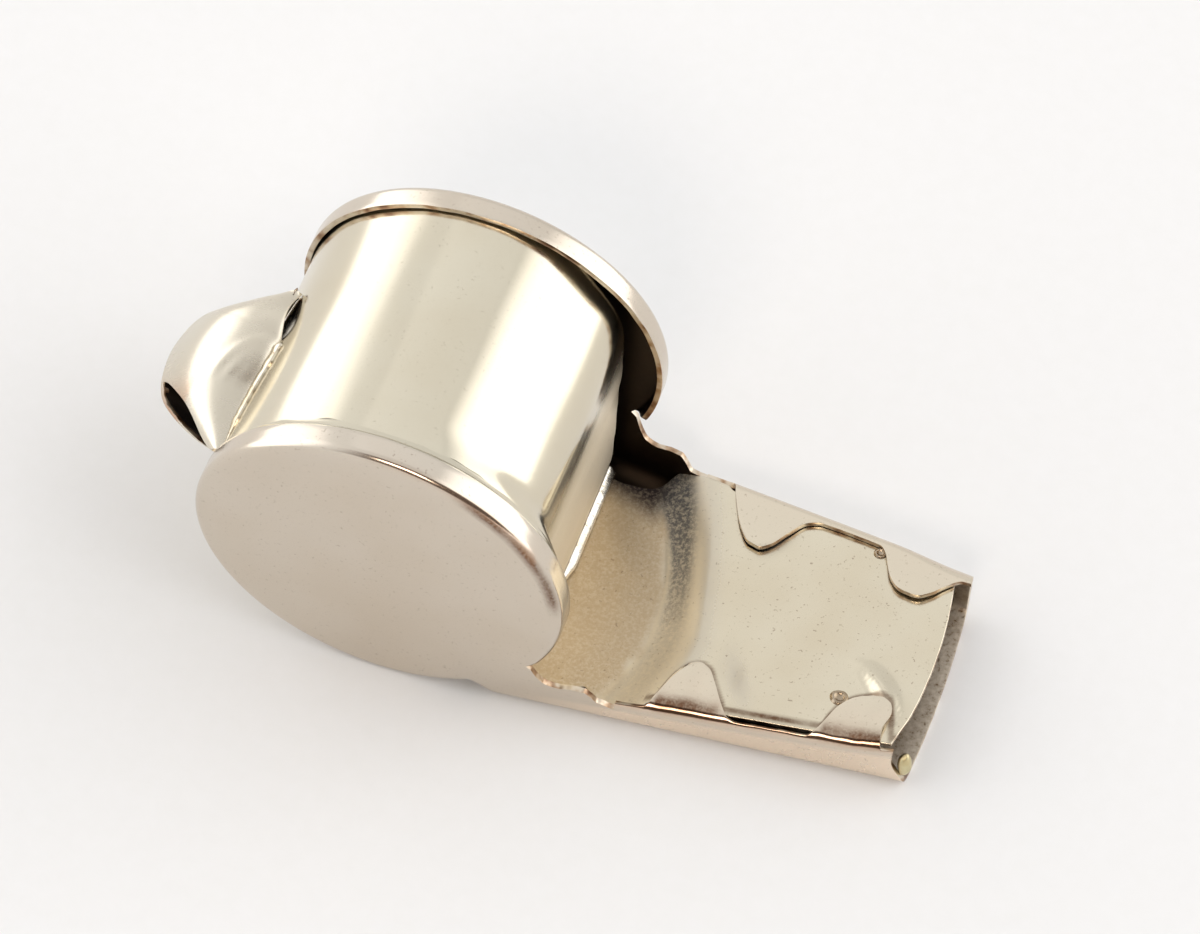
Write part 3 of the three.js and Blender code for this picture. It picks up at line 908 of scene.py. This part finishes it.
def ramp(tree, factor, stops):
    made = node(tree, "ShaderNodeValToRGB", {"Fac": factor})
    elements = made.color_ramp.elements
    while len(elements) < len(stops):
        elements.new(0.5)
    for element, (position, colour) in zip(elements, stops):
        element.position = position
        element.color = (*colour, 1)
    return made.outputs["Color"]


def grey(tree, factor, low, high, start=0.0, end=1.0):
    """factor from start to end, mapped to low to high."""
    made = node(tree, "ShaderNodeMapRange", {"Value": factor, "From Min": start, "From Max": end,
                                             "To Min": low, "To Max": high})
    return made.outputs["Result"]


def mix(tree, factor, a, b):
    made = node(tree, "ShaderNodeMix", data_type="RGBA")
    for key, value in (("Factor", factor), ("A", a), ("B", b)):
        socket = next(s for s in made.inputs if s.name == key and (key == "Factor" or s.type == "RGBA"))
        if isinstance(value, bpy.types.NodeSocket):
            tree.links.new(value, socket)
        else:
            socket.default_value = value
    return next(s for s in made.outputs if s.type == "RGBA")


def shaded(colour, factors):
    return tuple(c * f for c, f in zip(colour, factors))


def surface(tree, shader, colour, roughness, metallic=1.0):
    tree.links.new(colour, shader.inputs["Base Color"])
    tree.links.new(roughness, shader.inputs["Roughness"])
    shader.inputs["Metallic"].default_value = metallic


def bumped(tree, shader, height, strength, depth_mm):
    made = node(tree, "ShaderNodeBump", {"Strength": strength, "Distance": depth_mm * MM, "Height": height})
    tree.links.new(made.outputs["Normal"], shader.inputs["Normal"])


COPPER = (0.50, 0.27, 0.15, 1)
PIT = (0.16, 0.10, 0.06, 1)


def nickel(name, colour, roughness, speckle=0.3, stain=0.3, layers=(), pit_start=0.64):
    """Old nickel plate: warm tint, soft stains, tiny dark pits, fine scratches and worn-through copper.
    speckle and stain are strengths, and pits are fewer with a higher pit_start. layers are painted
    masks: (mask name, colour, how much rougher it gets, how strongly noise breaks it up)."""
    material, tree, shader = new_material(name)
    clouds = noise_value(tree, 5.0, 4.0)
    pits = noise_value(tree, 0.22, 2.0, 0.6)
    scratches = noise_value(tree, 1.6, 3.0, 0.7, (1, 9, 1))
    dark = shaded(colour, (0.86, 0.80, 0.72))
    stained = tuple(lerp(a, b, stain) for a, b in zip(colour, dark))
    base = ramp(tree, clouds, [(0.35, colour), (0.75, stained)])
    rough = calculate(tree, "ADD", grey(tree, clouds, roughness * 0.8, roughness * 1.25),
                      grey(tree, scratches, -0.03, 0.04))
    for mask_name, tint, dullness, broken in layers:
        mask = painted(tree, mask_name)
        grain = noise_value(tree, 0.24, 3.0, 0.8)
        patchy = calculate(tree, "MULTIPLY", mask, grey(tree, grain, 1.0 - broken, 1.0, 0.38, 0.56))
        base = mix(tree, patchy, base, (*tint, 1))
        rough = calculate(tree, "ADD", rough, calculate(tree, "MULTIPLY", mask, dullness))
    base = mix(tree, grey(tree, pits, 0.0, speckle, pit_start, pit_start + 0.1), base, PIT)
    worn = calculate(tree, "MULTIPLY", painted(tree, "wear"), grey(tree, clouds, 0.5, 1.0, 0.4, 0.6))
    base = mix(tree, worn, base, COPPER)
    surface(tree, shader, base, rough)
    height = calculate(tree, "ADD", scratches, grey(tree, pits, 0.0, -0.5, 0.6, 0.8))
    bumped(tree, shader, height, 0.05, 0.02)
    return material


def copper_edge(name):
    """Cut edge of the sheet, where the plating has worn to the copper-coloured metal."""
    material, tree, shader = new_material(name)
    patches = noise_value(tree, 1.1, 3.0)
    colour = ramp(tree, patches, [(0.34, (0.22, 0.12, 0.07)), (0.44, (0.46, 0.32, 0.21)),
                                  (0.54, (0.66, 0.57, 0.45)), (0.68, (0.74, 0.67, 0.56))])
    surface(tree, shader, colour, grey(tree, patches, 0.25, 0.5))
    return material


def under_rim(tree):
    """1 on the inside of the discs' turned rims, which the plating reached."""
    coordinates = node(tree, "ShaderNodeTexCoord").outputs["Object"]
    centred = node(tree, "ShaderNodeVectorMath", {0: coordinates, 1: place(0, 0, 0)}, operation="SUBTRACT")
    parts = node(tree, "ShaderNodeSeparateXYZ", {"Vector": centred.outputs["Vector"]})
    flat = node(tree, "ShaderNodeCombineXYZ", {"X": parts.outputs["X"], "Z": parts.outputs["Z"]})
    radius = node(tree, "ShaderNodeVectorMath", {0: flat.outputs["Vector"]}, operation="LENGTH")
    width = calculate(tree, "ABSOLUTE", parts.outputs["Y"], 0.0)
    outer = grey(tree, radius.outputs["Value"], 0.0, 1.0, (RADIUS - 0.8) * MM, (RADIUS - 0.55) * MM)
    high = grey(tree, parts.outputs["Z"], 0.0, 1.0, 4 * MM, 8 * MM)
    turned_in = grey(tree, width, 0.0, 1.0, (HALF_WIDTH - 2.4) * MM, (HALF_WIDTH - 2.1) * MM)
    return calculate(tree, "MULTIPLY", calculate(tree, "MULTIPLY", outer, high), turned_in)


def inside_tarnish_and_shade(name):
    """Unplated inside of the sheet: painted almost black in the drum, which is painted shade over its
    tarnish, and brown and pitted near the mouth.
    """
    material, tree, shader = new_material(name)
    coordinates = node(tree, "ShaderNodeTexCoord").outputs["Object"]
    x = node(tree, "ShaderNodeSeparateXYZ", {"Vector": coordinates}).outputs["X"]
    spots = noise_value(tree, 0.35, 4.0, 0.7)
    brown = ramp(tree, spots, [(0.32, (0.16, 0.10, 0.06)), (0.42, (0.44, 0.37, 0.29)),
                               (0.66, (0.60, 0.53, 0.44))])
    near_mouth = grey(tree, x, 0.0, 1.0, (MOUTH_X - 9 + AXIS_X) * MM, (MOUTH_X - 3 + AXIS_X) * MM)
    # Painted shade: almost black inside the drum.
    colour = mix(tree, near_mouth, (0.035, 0.024, 0.017, 1), brown)
    colour = mix(tree, under_rim(tree), colour, (0.62, 0.55, 0.44, 1))
    surface(tree, shader, colour, grey(tree, spots, 0.35, 0.55))
    return material


def solder(name, colour, roughness):
    """Soft, slightly grainy solder."""
    material, tree, shader = new_material(name)
    grain = noise_value(tree, 0.35, 4.0, 0.65)
    stains = noise_value(tree, 1.4, 3.0)
    tinted = ramp(tree, stains, [(0.4, colour), (0.65, shaded(colour, (0.86, 0.78, 0.66)))])
    base = mix(tree, grey(tree, grain, 0.0, 0.7, 0.60, 0.68), tinted, PIT)
    surface(tree, shader, base, grey(tree, grain, roughness * 0.75, roughness * 1.25))
    bumped(tree, shader, grain, 0.25, 0.05)
    return material


def cork(name):
    material, tree, shader = new_material(name)
    grain = noise_value(tree, 0.9, 5.0, 0.65)
    colour = ramp(tree, grain, [(0.3, (0.20, 0.10, 0.045)), (0.5, (0.48, 0.29, 0.14)),
                                (0.7, (0.62, 0.42, 0.24))])
    surface(tree, shader, colour, grey(tree, grain, 0.95, 0.75), metallic=0.0)
    bumped(tree, shader, grain, 0.5, 0.1)
    return material


# Stage

PAPER = 0.75            # brightness of the pale paper
PAPER_HALF = 1.5


def paper():
    material, tree, shader = new_material("pale_paper")
    fibres = noise_value(tree, 1.2, 4.0, 0.6)
    tone = ramp(tree, fibres, [(0.3, (PAPER * 0.985,) * 3), (0.7, (PAPER, PAPER, PAPER * 1.005))])
    surface(tree, shader, tone, grey(tree, fibres, 0.9, 1.0), metallic=0.0)
    shader.inputs["Specular IOR Level"].default_value = 0.1
    return material


def make_floor():
    corners = [(PAPER_HALF * x, PAPER_HALF * y, 0) for x, y in ((-1, -1), (1, -1), (1, 1), (-1, 1))]
    mesh = bpy.data.meshes.new("floor")
    mesh.from_pydata(corners, [], [(0, 1, 2, 3)])
    floor = bpy.data.objects.new("floor", mesh)
    bpy.context.scene.collection.objects.link(floor)
    floor.data.materials.append(paper())


# The light tent's bright sides and dimmer roof, as (direction along X, brightness)
TENT = [(-1.0, 2.4), (-0.78, 2.2), (-0.60, 1.02), (-0.3, 0.93), (0.1, 0.87), (0.36, 0.84), (0.54, 2.1),
        (1.0, 2.4)]
TENT_PEAK = 2.4
# The tent's dark opening in front. Each pair says between which directions one of its edges fades.
OPENING_COLOUR = (0.035, 0.022, 0.014, 1)
OPENING_LEFT, OPENING_BACK = (-0.5, -0.2), (-0.46, -0.32)
OPENING_FOOT, OPENING_TOP = (0.06, 0.12), (0.9, 0.97)
OPENING_DARKNESS = 0.95
# A lamp in that opening: where it starts, is full, is still full and ends along each axis
LAMP = {"X": (-0.2, -0.14, 0.2, 0.26), "Y": (-0.86, -0.82, -0.72, -0.66), "Z": (0.35, 0.4, 1.1, 1.2)}
LAMP_COLOUR = (3.4, 3.0, 2.6, 1)


def inside_box(tree, parts, limits):
    """1 where each part of a direction lies inside its limits, with soft edges."""
    inside = 1.0
    for axis, (start, full, still_full, end) in limits.items():
        rising = grey(tree, parts.outputs[axis], 0.0, 1.0, start, full)
        falling = grey(tree, parts.outputs[axis], 1.0, 0.0, still_full, end)
        inside = calculate(tree, "MULTIPLY", inside, calculate(tree, "MULTIPLY", rising, falling))
    return inside


def make_world():
    world = bpy.data.worlds.new("light_tent")
    world.use_nodes = True
    tree = world.node_tree
    background = tree.nodes["Background"]
    direction = node(tree, "ShaderNodeTexCoord").outputs["Generated"]
    parts = node(tree, "ShaderNodeSeparateXYZ", {"Vector": direction})
    side = grey(tree, parts.outputs["X"], 0.0, 1.0, -1.0, 1.0)
    tint = ramp(tree, side, [((x + 1) / 2, (v / TENT_PEAK, v / TENT_PEAK, v / TENT_PEAK)) for x, v in TENT])
    opening = OPENING_DARKNESS
    for axis, low, high, edge in (("Y", 1.0, 0.0, OPENING_BACK), ("Z", 1.0, 0.0, OPENING_TOP),
                                  ("X", 0.0, 1.0, OPENING_LEFT), ("Z", 0.0, 1.0, OPENING_FOOT)):
        opening = calculate(tree, "MULTIPLY", opening, grey(tree, parts.outputs[axis], low, high, *edge))
    opened = mix(tree, opening, tint, OPENING_COLOUR)
    lit = mix(tree, inside_box(tree, parts, LAMP), opened, LAMP_COLOUR)
    tree.links.new(lit, background.inputs["Color"])
    background.inputs["Strength"].default_value = TENT_PEAK
    bpy.context.scene.world = world


SOFTBOX_CENTRE, SOFTBOX_TARGET = Vector((-0.05, 0.45, 0.72)), Vector((0, 0, 0.01))
SOFTBOX_SIZE = (0.7, 0.45)
SOFTBOX_WATTS = 0.12


def make_softbox():
    """One weak, large softbox overhead gives the shadows a direction."""
    data = bpy.data.lights.new("top_softbox", "AREA")
    data.shape = "RECTANGLE"
    data.size, data.size_y = SOFTBOX_SIZE
    data.energy = SOFTBOX_WATTS
    light = bpy.data.objects.new("top_softbox", data)
    light.location = SOFTBOX_CENTRE
    light.rotation_mode = "QUATERNION"
    light.rotation_quaternion = (SOFTBOX_TARGET - SOFTBOX_CENTRE).to_track_quat("-Z", "Y")
    bpy.context.scene.collection.objects.link(light)


# The camera stands where the photographer's did: a long lens, high on the right of the mouthpiece

VIEW_AZIMUTH = 16.66
VIEW_ELEVATION = 56.92
VIEW_ROLL = 3.24
VIEW_DISTANCE = 0.2842
AIM_RIGHT, AIM_UP = 9.423, -1.764
LENS = 149.8


def make_camera():
    a, e, r = (math.radians(v) for v in (VIEW_AZIMUTH, VIEW_ELEVATION, VIEW_ROLL))
    back = Vector((math.sin(a) * math.cos(e), -math.cos(a) * math.cos(e), math.sin(e)))
    level = Vector((math.cos(a), math.sin(a), 0))
    upright = back.cross(level)
    right = level * math.cos(r) + upright * math.sin(r)
    up = upright * math.cos(r) - level * math.sin(r)
    aim = place(0, 0, 0) + right * AIM_RIGHT * MM + up * AIM_UP * MM
    data = bpy.data.cameras.new("camera")
    data.lens = LENS
    data.sensor_width = 36
    data.clip_start, data.clip_end = 0.01, 10
    camera = bpy.data.objects.new("camera", data)
    turn = Matrix((right, up, back)).transposed()
    camera.matrix_world = Matrix.Translation(aim + back * VIEW_DISTANCE) @ turn.to_4x4()
    bpy.context.scene.collection.objects.link(camera)
    bpy.context.scene.camera = camera


# Assembly

# Painted layers of each sheet: mask, colour, added roughness and how strongly noise breaks it up
SHELL_LAYERS = (
    # The walls' own pinker tone, plus painted light that makes them lighter than the discs.
    ("wall_tint_and_painted_light", (0.84, 0.71, 0.57), 0.1, 0.1),
    ("tab", (0.69, 0.62, 0.49), 0.0, 0.0),
    ("crisp", (0.70, 0.60, 0.49), -0.09, 0.3),
    # Brown stain on the near fold and the rim's bend, partly a painted dark reflection.
    ("brown", (0.16, 0.085, 0.05), 0.0, 0.3),
)
BAND_LAYERS = (
    # Lighter, duller lower front: tarnish, plus painted light that evens out a dark reflection.
    ("foot", (0.80, 0.71, 0.56), 0.42, 0.1),
)
PLATE_LAYERS = (
    ("haze", (0.60, 0.545, 0.45), 0.3, 0.3),
    ("tarnish", (0.50, 0.395, 0.265), 0.24, 0.4),
    # Dark speckled band on the rise of the step.
    ("dark_band", (0.13, 0.13, 0.135), 0.1, 0.62),
    ("line", (0.15, 0.085, 0.05), 0.1, 0.2),
    # Painted shade and a painted shadow on the shelf and roof, partly grime.
    ("shade", (0.04, 0.03, 0.03), 0.3, 0.2),
)


def finish_piece(piece, materials, cad_node, body="whistle"):
    for material in materials:
        piece.data.materials.append(material)
    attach(piece, body)
    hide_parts(cad_node)


def build():
    edge = copper_edge("worn_edge")
    inside = inside_tarnish_and_shade("inside_tarnish_and_shade")
    shell_metal = nickel("shell_nickel", (0.66, 0.59, 0.50), 0.17, layers=SHELL_LAYERS)
    band_metal = nickel("band_nickel", (0.69, 0.635, 0.51), 0.15, speckle=0.15, layers=BAND_LAYERS)
    plate_metal = nickel("plate_nickel", (0.69, 0.625, 0.49), 0.17, speckle=0.5, stain=0.45,
                         layers=PLATE_LAYERS, pit_start=0.645)
    lug_metal = nickel("lug_nickel", (0.69, 0.635, 0.53), 0.26, speckle=0.15)
    bright_solder = solder("bright_solder", (0.78, 0.74, 0.66), 0.22)
    pale_solder = solder("pale_solder", (0.70, 0.64, 0.52), 0.30)
    burnt_solder = solder("burnt_solder", (0.40, 0.33, 0.25), 0.28)
    yellow_solder = solder("yellow_solder", (0.66, 0.60, 0.38), 0.38)

    finish_piece(build_shell(), [shell_metal, edge, inside], "body_shell")
    finish_piece(build_band(), [band_metal, edge, inside], "drum_band")
    finish_piece(build_plate(), [plate_metal, edge, inside], "windway_plate")
    finish_piece(build_lug(), [lug_metal, edge, inside], "lanyard_lug")
    finish_piece(build_pea(), [cork("pea_cork")], "pea", "pea")
    finish_piece(build_rim_solder(), [band_metal], "rim_solder")
    finish_piece(build_foot_solder(), [bright_solder], "foot_solder")
    finish_piece(build_lug_solder(), [pale_solder], "lug_solder")
    finish_piece(build_tab_bead("near_tab_bubble", -1), [burnt_solder], "near_tab_bead")
    finish_piece(build_tab_bead("far_tab_bubble", 1), [burnt_solder], "far_tab_bead")
    blob = lump("mouth_solder_blob", BLOB_CENTRE, BLOB_HALF, 2.0)
    finish_piece(blob, [yellow_solder], "mouth_solder")


bpy.context.scene.view_settings.view_transform = "Standard"
make_camera()
make_world()
make_softbox()
make_floor()
build()
